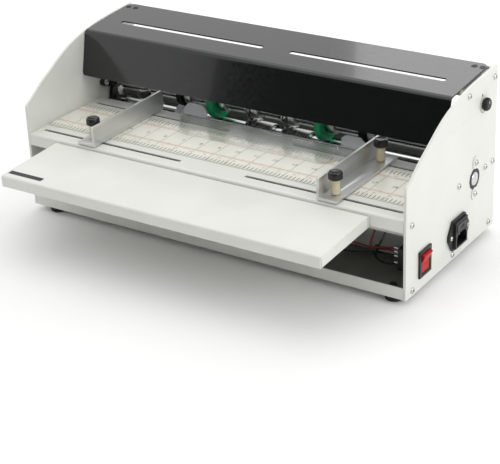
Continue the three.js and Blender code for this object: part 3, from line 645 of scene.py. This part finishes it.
def printedScale():
    s = scaleSizes
    nodes["ruler_sheet"].data.materials.clear()
    nodes["ruler_sheet"].data.materials.append(printedFilm)
    first, inch = s["inchZero"], s["inch"]
    middle, depth = (s["y0"] + s["y1"]) / 2, s["y1"] - s["y0"]
    black = []
    for y, way in ((s["y0"], 1), (s["y1"], -1)):
        black += [markRow(first, y + way * inset, *row) for inset, *row in s["edgeRows"]]
    black.append(markRow(first + inch, middle, inch, s["inches"], s["inchLine"], depth - s["inchLineShort"]))
    black += [numberMesh(str(n), first + inch * n - s["numberBack"], s["numberRow"], s["numberHeight"])
              for n in range(1, s["inches"] + 1)]
    addPiece("scaleMarksBlack", joinedMesh("scaleMarksBlack", black), inkBlack, "frame")
    red = []
    for y in s["red"]:
        lineX, *line = s["redLine"]
        red.append(markRow(lineX, y, *line))
        red += [markRow(first, y, *row) for row in s["redRows"]]
    for y in s["smallRows"]:
        red += [numberMesh(str(n), first + s["smallStep"] * n, y, s["smallHeight"]) for n in range(2, 49, 2)]
    addPiece("scaleMarksRed", joinedMesh("scaleMarksRed", red), inkRed, "frame")


printedScale()
print("printed scale ready")

# ---- shafts and wheels

# outlines run along the shaft from the wheel's middle; their radii are over the rim or, on the hub, full
shaftSizes = {
    "y": 162, "upper": 112, "lower": 78, "upperEnds": (4.3, 504.1), "lowerEnds": (-1, 509.4),
    "shoulders": (25, 483.4), "radius": 10, "journal": 8, "sleeve": 12, "sleevePast": 2.3, "bore": 12.3,
    "collar": 14, "collarSpan": (2, 11), "screwAt": 6.5, "screwTurns": [200, 262, 236, 251, 228, 245],
    "wheel": 16.85, "feedWheel": 23.85, "whiteHalf": 10, "dieSpan": (-6, 29), "wheelEase": 1.0,
    "creaserRim": [(-3, -2.2), (-2.4, -1.6), (-1.0, -1.6), (-0.55, 0.5), (-0.2, 0.9), (0.2, 0.9), (0.55, 0.5),
                   (1.0, -1.6), (2.4, -1.6), (3, -2.2)],
    "dieRim": [(-6, -0.5), (-5.5, 0), (-1.3, 0), (-1.0, -1.6), (1.0, -1.6), (1.3, 0), (6.5, 0), (7, -0.5)],
    "dieHub": [(7, 15), (28.2, 15), (29, 14.2), (29, 13.4), (28.2, 13.2)],
    "stations": [(119, 8, "rubber"), (169, 9, "feed"), (217.5, 6, "crease"), (268.5, 6, "crease"),
                 (320, 9, "feed"), (374, 8, "rubber")]}


def steppedBar(name, z, ends, sleeves, node, endEase=0.6, ease=0.5, sleeveEase=0.3):
    s = shaftSizes
    r, j, k = s["radius"], s["journal"], s["sleeve"]
    (low, high), (left, right), e = ends, s["shoulders"], sleeveEase
    points = [(low, 0), (low, j - endEase), (low + endEase, j), (left, j), (left, r - ease), (left + ease, r)]
    for x0, x1 in sleeves:
        points += [(x0, r), (x0, k - e), (x0 + e, k), (x1 - e, k), (x1, k - e), (x1, r)]
    points += [(right - ease, r), (right, r - ease), (right, j), (high - endEase, j), (high, j - endEase),
               (high, 0)]
    return turned(name, points, "x", s["y"], z, groundSteel, bodyOf[node], [node], 96)


# a wheel from its outline, closed along the bore
def steelWheel(name, outline, z, node):
    s = shaftSizes
    points = [(outline[0][0], s["bore"])] + outline + [(outline[-1][0], s["bore"])]
    turned(name, points, "x", s["y"], z, turnedSteel, bodyOf[node], [node], 96, True)


def plainWheel(name, start, end, radius, z, material, node):
    s = shaftSizes
    points = ringPoints(start, end, s["bore"], radius, s["wheelEase"])
    turned(name, points, "x", s["y"], z, material, bodyOf[node], [node], 96, True)


def upperWheels():
    s = shaftSizes
    sleeves = [(x - w / 2, x + w / 2 + s["sleevePast"]) for x, w, kind in s["stations"]]
    steppedBar("upperShaftBar", s["upper"], s["upperEnds"], sleeves, "upper_shaft")
    collars, holes = [], []
    near, far = s["collarSpan"]
    sunk = s["collar"] - 0.15
    for i, (x, w, kind) in enumerate(s["stations"], 1):
        node = f"upper_{kind}_wheel_{i}"
        end = x + w / 2
        ring = ringPoints(end + near, end + far, s["radius"] + 0.02, s["collar"], 0.7)
        collars.append(turnedMesh("collar", ring, "x", s["y"], s["upper"], 64, True))
        turn = math.radians(s["screwTurns"][i - 1])
        out = Vector((0, math.cos(turn), math.sin(turn)))
        holes.append((at(end + s["screwAt"], s["y"] + out.y * sunk, s["upper"] + out.z * sunk), out))
        if kind == "crease":
            outline = [(x + along, s["wheel"] + rise) for along, rise in s["creaserRim"]]
            steelWheel(f"upperCreaser{i}", outline, s["upper"], node)
        else:
            feed = kind == "feed"
            radius, material = (s["feedWheel"], castUrethane) if feed else (s["wheel"], mouldedRubber)
            plainWheel(f"upperWheel{i}", x - w / 2, end, radius, s["upper"], material, node)
    addPiece("upperCollars", smoothed(joinedMesh("upperCollars", collars)), turnedAluminium, "upper_shaft")
    scattered("collarSetScrews", setScrewHole, holes, mouldedAbs, "upper_shaft")


def lowerWheels():
    s = shaftSizes
    sleeves = []
    for i, (x, w, kind) in enumerate(s["stations"], 1):
        node = f"lower_{kind}_wheel_{i}"
        if kind == "crease":
            sleeves.append((x + s["dieSpan"][0], x + s["dieSpan"][1]))
            outline = [(x + along, s["wheel"] + rise) for along, rise in s["dieRim"]]
            outline += [(x + along, radius) for along, radius in s["dieHub"]]
            steelWheel(f"lowerDie{i}", outline, s["lower"], node)
        if kind == "rubber":
            start, end = x - s["whiteHalf"], x + s["whiteHalf"]
            sleeves.append((start, end))
            plainWheel(f"lowerWheel{i}", start, end, s["wheel"], s["lower"], whiteNylon, node)
    steppedBar("lowerShaftBar", s["lower"], s["lowerEnds"], sleeves, "lower_shaft")


upperWheels()
lowerWheels()
driveEase = {"gears": 0.2, "bearings": 0.35}
for node, name in (("upper_gear", "upperGear"), ("lower_gear", "lowerGear"), ("motor_pinion", "motorPinion")):
    eased(name, node, groundSteel, driveEase["gears"])
for node, name in (("lower_bearing_left", "lowerBearingLeft"), ("lower_bearing_right", "lowerBearingRight"),
                   ("upper_bearing_left", "upperBearingLeft"), ("upper_bearing_right", "upperBearingRight")):
    eased(name, node, castIronPainted, driveEase["bearings"])
print("shafts ready")

# ---- motor, board and wires

# the motor's outline runs inwards from the right side plate's outer face
motorSizes = {
    "y": 162, "z": 44, "face": 508.4, "bracketEase": 0.25, "boardEase": 0.15, "outline": [
        (12, 0), (12, 2.6), (12.4, 3), (26.5, 3), (26.5, 18), (27, 18.5), (57.5, 18.5), (58, 18), (58, 17.3),
        (58.6, 17.3), (58.6, 17.8), (96.3, 17.8), (97, 17), (97, 6), (100, 6), (100.5, 5.5), (100.5, 0)]}
turned("gearMotor", [(motorSizes["face"] - depth, radius) for depth, radius in motorSizes["outline"]],
       "x", motorSizes["y"], motorSizes["z"], zincPlated, "frame", ["gear_motor"])
eased("motorBracket", "motor_bracket", zincPlated, motorSizes["bracketEase"])
eased("controlBoard", "control_board", solderMask, motorSizes["boardEase"])

wireSizes = {"radius": 1.1, "sides": 14, "routes": {
    "motorWireRed": ("motor_wire_red", [
        (406.5, 158, 44), (380, 150, 26), (300, 128, 14), (206, 104, 12), (187, 92, 12), (186, 86, 11),
        (260, 58, 11), (350, 44, 24), (424, 42.5, 31), (446, 43.5, 29), (462, 43.5, 31.5), (481, 42, 32.5)]),
    "motorWireBlack": ("motor_wire_black", [
        (406.5, 166, 44), (378, 156, 20), (298, 132, 7), (204, 106, 6.5), (187, 92, 7), (186, 86, 6.5),
        (260, 62, 4.5), (360, 48, 10), (424, 45, 19), (446, 45.5, 24), (462, 44.5, 26), (481, 42, 27.5)]),
    "controlWireRed": ("control_wire_red", [
        (487, 175, 150.5), (475, 160, 143), (467, 147, 126), (463, 145, 98), (459, 138, 79), (454, 90, 79),
        (450.5, 52, 70), (449, 41, 52), (446, 38, 34), (460, 39, 35.5), (481, 42, 37.5)]),
    "controlWireBlack": ("control_wire_black", [
        (490, 185, 150.5), (486, 166, 143), (480, 148, 128), (477, 145, 100), (473, 138, 80), (467, 92, 79),
        (464, 52, 68), (461, 42, 51), (452.5, 41, 31), (450.5, 41, 21), (460, 41, 16.5), (481, 42, 19.5)])}}


# a smooth line through the points, spaced by the square root of their distance
def smoothLine(points, steps=9):
    points = [Vector(p) for p in points]
    points = [2 * points[0] - points[1]] + points + [2 * points[-1] - points[-2]]
    line = []
    for p0, p1, p2, p3 in zip(points, points[1:], points[2:], points[3:]):
        t1 = (p1 - p0).length ** 0.5
        t2 = t1 + (p2 - p1).length ** 0.5
        t3 = t2 + (p3 - p2).length ** 0.5
        for i in range(steps):
            t = t1 + (t2 - t1) * i / steps
            a1 = p0.lerp(p1, t / t1)
            a2 = p1.lerp(p2, (t - t1) / (t2 - t1))
            a3 = p2.lerp(p3, (t - t2) / (t3 - t2))
            b1 = a1.lerp(a2, t / t2)
            b2 = a2.lerp(a3, (t - t1) / (t3 - t1))
            line.append(b1.lerp(b2, (t - t1) / (t2 - t1)))
    return line + [points[-2]]


def pathMesh(name, points):
    mesh = bpy.data.meshes.new(name)
    line = [at(*p) for p in points]
    mesh.from_pydata(line, [(i, i + 1) for i in range(len(line) - 1)], [])
    return mesh


def wireMesh(name, points, radius, material):
    values = {"Radius": radius * mm, "Sides": wireSizes["sides"], "Material": material}
    return grown(name, wire, values, pathMesh(name, points))


for name, (node, route) in wireSizes["routes"].items():
    material = redPvc if "Red" in name else blackPvc
    mesh = wireMesh(name, smoothLine(route), wireSizes["radius"], material)
    addPiece(name, mesh, material, "frame", [node])

# crimped terminals where the wires reach the switch
terminalBack = 8
ends = [wireSizes["routes"][name][1][-1]
        for name in ("controlWireRed", "motorWireRed", "motorWireBlack", "controlWireBlack")]
scattered("spadeTerminals", crimp, [(at(x - terminalBack, y - 0.1, z), (1, 0, 0)) for x, y, z in ends],
          nickelPlated, "frame")

# the tie: two leaning oval loops round the bundle
tieSizes = {"place": (449, 42, 28.5), "radii": (0.8, 4.6, 6), "loops": (0, 1.6), "radius": 0.6, "steps": 28}


def cableTie():
    (x, y, z), (lean, across, up) = tieSizes["place"], tieSizes["radii"]
    turns = [2 * math.pi * i / tieSizes["steps"] for i in range(tieSizes["steps"] + 1)]
    loops = [[(x + shift + lean * math.sin(t), y + across * math.cos(t), z + up * math.sin(t)) for t in turns]
             for shift in tieSizes["loops"]]
    bands = [wireMesh("cableTie", loop, tieSizes["radius"], blackPvc) for loop in loops]
    return joinedMesh("cableTie", bands)


addPiece("cableTie", cableTie(), blackPvc, "frame")
print("wiring ready")

# ---- switch, inlet and speed dial

mouldedEase = {"switch": 0.5, "inlet": 0.4, "drawer": 0.35}
eased("switchBezel", "switch_body", mouldedAbs, mouldedEase["switch"])
eased("powerRocker", "power_rocker", redPolycarbonate, mouldedEase["switch"], 3)
eased("powerInlet", "power_inlet", mouldedAbs, mouldedEase["inlet"])
eased("fuseDrawer", "fuse_drawer", mouldedAbs, mouldedEase["drawer"])

inletSizes = {"y": 120.5, "z": 31, "pinEnds": (497, 508.9), "pins": [(-7, -5), (7, -5), (0, -9)],
              "pinHalf": (1.15, 2.15), "screwFace": 511.7, "screwOut": 20, "screwScale": 0.8}


# a box with small chamfers, an eighth of its thinnest side
def boxMesh(x0, x1, y0, y1, z0, z1):
    made = bmesh.new()
    bmesh.ops.create_cube(made, size=1)
    low, high = at(x0, y0, z0), at(x1, y1, z1)
    size = high - low
    placed = Matrix.Translation((low + high) / 2) @ Matrix.Diagonal(size.to_4d())
    bmesh.ops.transform(made, matrix=placed, verts=made.verts)
    bmesh.ops.bevel(made, geom=made.edges, offset=min(size) * 0.12, segments=1, affect="EDGES")
    return meshFrom("box", made)


def inletPin(y, z):
    (inner, outer), (halfY, halfZ) = inletSizes["pinEnds"], inletSizes["pinHalf"]
    return boxMesh(inner, outer, y - halfY, y + halfY, z - halfZ, z + halfZ)


pins = [inletPin(inletSizes["y"] + y, inletSizes["z"] + z) for y, z in inletSizes["pins"]]
addPiece("inletPins", joinedMesh("inletPins", pins), nickelPlated, "frame")

# angles are in degrees from the rear, upwards; the dot is so far behind and above the middle
dialSizes = {
    "y": 181, "z": 160.4, "radius": 7.5, "low": 509.6, "high": 515.4, "ribs": 28, "ribRadius": 0.55,
    "pointer": (1.2, 4.2, 0.5), "plateFace": 508.42,
    "arc": {"radius": 9.6, "width": 0.6, "start": 95, "end": 290}, "dotPlace": (-4.4, 11.4), "dotRadius": 1.5}


def speedDial():
    d = dialSizes
    core = d["radius"] - 0.45
    y, z, low, high = d["y"], d["z"], d["low"], d["high"]
    body = turnedMesh("speedKnob", [
        (low, 3.4), (low, core - 0.6), (low + 0.6, core), (high - 1.4, core - 0.2), (high - 0.4, core - 0.9),
        (high - 0.1, core - 1.8), (high - 0.5, core - 2.1), (high - 0.5, 0), (high - 1.9, 0),
        (high - 1.9, 3.4)], "x", y, z)
    grip = grown("speedKnobGrip", ribs, {
        "Radius": (core - 0.15) * mm, "Count": d["ribs"], "Rib radius": d["ribRadius"] * mm,
        "Length": (high - low - 2.6) * mm, "Centre": at((low + high) / 2 - 0.5, y, z),
        "Turn": (0, math.pi / 2, 0), "Material": mouldedAbs})
    whole = smoothed(joinedMesh("speedKnob", [body, grip]), 40)
    addPiece("speedKnob", whole, mouldedAbs, "speed_knob", ["speed_knob"])
    cap = [(high - 0.52, 0), (high - 0.52, core - 2.3), (high - 0.2, core - 2.5), (high - 0.12, 0)]
    turned("speedKnobCap", cap, "x", y, z, castIronPainted, "speed_knob")
    near, far, half = d["pointer"]
    pointer = boxMesh(high - 0.13, high - 0.02, y - half, y + half, z + near, z + far)
    addPiece("speedPointer", pointer, inkWhite, "speed_knob")


speedDial()
nodes["speed_control"].data.materials.clear()
nodes["speed_control"].data.materials.append(zincPlated)


# a printed arc that faces right; a full circle of almost no radius is a dot
def arcMesh(name, x, y, z, radius, width, start, end, thick=0.05, steps=40):
    made = bmesh.new()
    section = ((0, radius), (thick, radius), (thick, radius + width), (0, radius + width))
    rows = []
    for i in range(steps + 1):
        t = math.radians(start + (end - start) * i / steps)
        spots = [(x + up, y + r * math.cos(t), z + r * math.sin(t)) for up, r in section]
        rows.append([made.verts.new(at(*spot)) for spot in spots])
    skin(made, rows, len(section))
    if end - start < 360:
        made.faces.new(rows[0])
        made.faces.new(rows[-1])
    else:
        bmesh.ops.remove_doubles(made, verts=made.verts, dist=mm / 10000)
    return meshFrom(name, made, True)


def dialPrint():
    d = dialSizes
    back, up = d["dotPlace"]
    arc = arcMesh("dialArc", d["plateFace"], d["y"], d["z"], **d["arc"])
    dot = arcMesh("dialDot", d["plateFace"], d["y"] + back, d["z"] + up, 0.0001, d["dotRadius"], 0, 360)
    return joinedMesh("dialPrint", [arc, dot])


# dark strips under the slots of the feed table: painted shade that stands in for the dark inside of the
# machine seen through the slots
stripSizes = {"x0": 8, "x1": 500, "z0": 87.1, "z1": 87.7, "rows": [(6, 29.4), (112, 136)]}
strips = [boxMesh(stripSizes["x0"], stripSizes["x1"], y0, y1, stripSizes["z0"], stripSizes["z1"])
          for y0, y1 in stripSizes["rows"]]
addPiece("slotStrips", joinedMesh("slotStrips", strips), mouldedRubber, "frame")
addPiece("dialPrint", dialPrint(), inkBlack, "frame")
print("electrics ready")

# ---- feet, badge, screws

feetSizes = {
    "places": {"front_left": (24.5, 15), "front_right": (487, 15), "rear_left": (24.5, 198.5),
               "rear_right": (487, 198.5)},
    "outline": [(-8, 0), (-8, 8.9), (-7.2, 9.9), (-6, 10.3), (-1, 10.5), (-0.3, 10.1), (-0.3, 0)]}
for where, (x, y) in feetSizes["places"].items():
    name = "foot" + where.title().replace("_", "")
    stands = [f"foot_{where}"]
    turned(name, feetSizes["outline"], "z", x, y, mouldedRubber, "frame", stands, 48)

# the tray's top is at trayZ where Y is trayY, and falls towards the operator by the tilt
badgeSizes = {"x0": 50, "x1": 97, "y0": -92.6, "y1": -86, "tilt": 2.1, "thick": 0.45, "trayY": -1.2,
              "trayZ": 91.42}


def blankBadge():
    b = badgeSizes
    tilt = math.radians(b["tilt"])
    middleY = (b["y0"] + b["y1"]) / 2
    top = b["trayZ"] + (middleY - b["trayY"]) * math.tan(tilt)
    mesh = boxMesh(b["x0"], b["x1"], b["y0"], b["y1"], top, top + b["thick"])
    middle = at((b["x0"] + b["x1"]) / 2, middleY, top)
    mesh.transform(Matrix.Translation(middle) @ Matrix.Rotation(tilt, 4, "X") @ Matrix.Translation(-middle))
    return addPiece("blankBadge", mesh, mouldedAbs, "front_tray")


blankBadge()

# plate screws and washers are (Y, Z) on both side plates, and the faces are X where their parts stand;
# the left heads sit lower, level with the shaft's end
screwPlaces = {
    "plates": [(143.6, 181.6), (208, 183), (209, 81.4), (189.7, 81.7), (123, 84.1), (12.6, 83.9), (14.9, 6.7),
               (110, 6.4), (203, 7.8)],
    "washers": [(163.8, 97), (162.6, 60)], "screwFaces": (1.1, 508.4), "washerFaces": (0.1, 508.4),
    "onWashers": (1.1, 509.4), "cover": [9, 20, 487, 497], "coverLine": (200, 194.45),
    "coverFacing": (0, -0.079, 0.997),
    "bearings": [(143.5, 112), (180.5, 112)], "bearingFaces": (7.8, 500.6),
    "peg": (482, 22, 1.5), "pegScale": 1.2, "anyTurn": 6.28}


def onFaces(faces, places, ways=(-1, 1)):
    return {way: [(at(x, y, z), (way, 0, 0)) for y, z in places] for x, way in zip(faces, ways)}


def addScrews():
    p, turn = screwPlaces, screwPlaces["anyTurn"]
    heads, raised = onFaces(p["screwFaces"], p["plates"]), onFaces(p["onWashers"], p["washers"])
    scattered("plateScrews", panScrew, heads[1] + heads[-1] + raised[1] + raised[-1], nickelPlated, "frame",
              spin=turn, seed=7)
    washers = onFaces(p["washerFaces"], p["washers"])
    scattered("bearingWashers", roundWasher, washers[1] + washers[-1], powderCoatedSteel, "frame")
    cover = [(at(x, *p["coverLine"]), p["coverFacing"]) for x in p["cover"]]
    scattered("coverScrews", flatScrew, cover, mouldedAbs, "top_cover", spin=turn,
              seed=2)
    bolts = onFaces(p["bearingFaces"], p["bearings"], (1, -1))
    scattered("bearingBolts", hexHead, bolts[1] + bolts[-1], nickelPlated, "frame")
    i = inletSizes
    inlet = [(at(i["screwFace"], i["y"] + way * i["screwOut"], i["z"]), (1, 0, 0)) for way in (-1, 1)]
    scattered("inletScrews", panScrew, inlet, nickelPlated, "frame", i["screwScale"], turn, 5)
    peg = [(at(*p["peg"]), (0, 0, 1))]
    scattered("floorPeg", hexHead, peg, mouldedAbs, "frame", p["pegScale"])


addScrews()
print("fasteners ready")

for part in masters:
    bpy.data.objects.remove(part)

# ---- floor, light and camera

# studio sizes are in metres in the frame of the whole object
studioSizes = {"floor": [(-2.2, -0.95), (2.6, -0.95), (2.6, 3.2), (-2.2, 3.2)], "floorZ": -0.0001, "sky": 1.0,
               "card": [(-1.9, -0.8), (4.0, -0.8), (4.0, 1.7), (-1.9, 1.7)], "cardY": -2.8}


def stageSheet(name, corners, material):
    mesh = bpy.data.meshes.new(name)
    mesh.from_pydata(corners, [], [(0, 1, 2, 3)])
    made = newObject(name, mesh, material)
    return made


# matt background paper, almost white
floorMaterial = newMaterial("studioPaper", "#F6F6F5", 0.9)
addGrain(floorMaterial, (300, 300, 300), 0.0, tint=("#F4F4F3", "#F8F8F7"))
stageSheet("studioFloor", [(x, y, studioSizes["floorZ"]) for x, y in studioSizes["floor"]], floorMaterial)

world = bpy.data.worlds.new("studio")
scene.world = world
world.use_nodes = True
world.node_tree.nodes["Background"].inputs["Color"].default_value = (1, 1, 1, 1)
world.node_tree.nodes["Background"].inputs["Strength"].default_value = studioSizes["sky"]

lightSizes = {
    "overhead": ((-0.3, 0.3, 2.0), (0, 0, 0), 1.8, 8, "#FFFFFF"),
    "rightSide": ((2.0, -0.1, 1.0), (0.25, 0, 0.1), 1.1, 9, "#FFFFFF"),
    "behind": ((-0.55, 2.0, 1.7), (0.1, 0.1, 0.2), 1.0, 3.4, "#FFFFFF"),
}
for name, (place, target, size, power, color) in lightSizes.items():
    lamp = bpy.data.lights.new(name, "AREA")
    lamp.shape = "SQUARE"
    lamp.size = size
    lamp.energy = power
    lamp.color = linear(color)[:3]
    holder = bpy.data.objects.new(name, lamp)
    holder.location = place
    holder.rotation_euler = (Vector(target) - Vector(place)).to_track_quat("-Z", "Y").to_euler()
    scene.collection.objects.link(holder)

# a dark card in front of the machine that the camera can't see: it keeps the enamel black and the
# faces towards the operator in shade
cardMaterial = newMaterial("blackStudioCard", "#050505", 0.9)
card = stageSheet("darkCard", [(x, studioSizes["cardY"], z) for x, z in studioSizes["card"]], cardMaterial)
card.visible_camera = False

# place in mm; azimuth from the front towards the right, elevation and roll in degrees; lens and sensor in mm
cameraSizes = {"place": (1145.99, -1229.69, 766.50), "azimuth": 34.06, "elevation": 26.20, "roll": -2.38,
               "lens": 107.58, "sensor": 36, "near": 0.05}


def addCamera():
    c = cameraSizes
    camera = bpy.data.cameras.new("camera")
    camera.lens = c["lens"]
    camera.sensor_width = c["sensor"]
    camera.clip_start = c["near"]
    holder = bpy.data.objects.new("camera", camera)
    azimuth, elevation, roll = (math.radians(c[key]) for key in ("azimuth", "elevation", "roll"))
    level = math.cos(elevation)
    forward = Vector((-math.sin(azimuth) * level, math.cos(azimuth) * level, -math.sin(elevation)))
    aimed = forward.to_track_quat("-Z", "Y").to_matrix() @ Matrix.Rotation(roll, 3, "Z")
    holder.location = at(*c["place"])
    holder.rotation_euler = aimed.to_euler()
    scene.collection.objects.link(holder)
    scene.camera = holder


addCamera()
scene.view_settings.view_transform = "Standard"
scene.view_settings.look = "None"
print("studio ready")

bpy.context.view_layer.update()
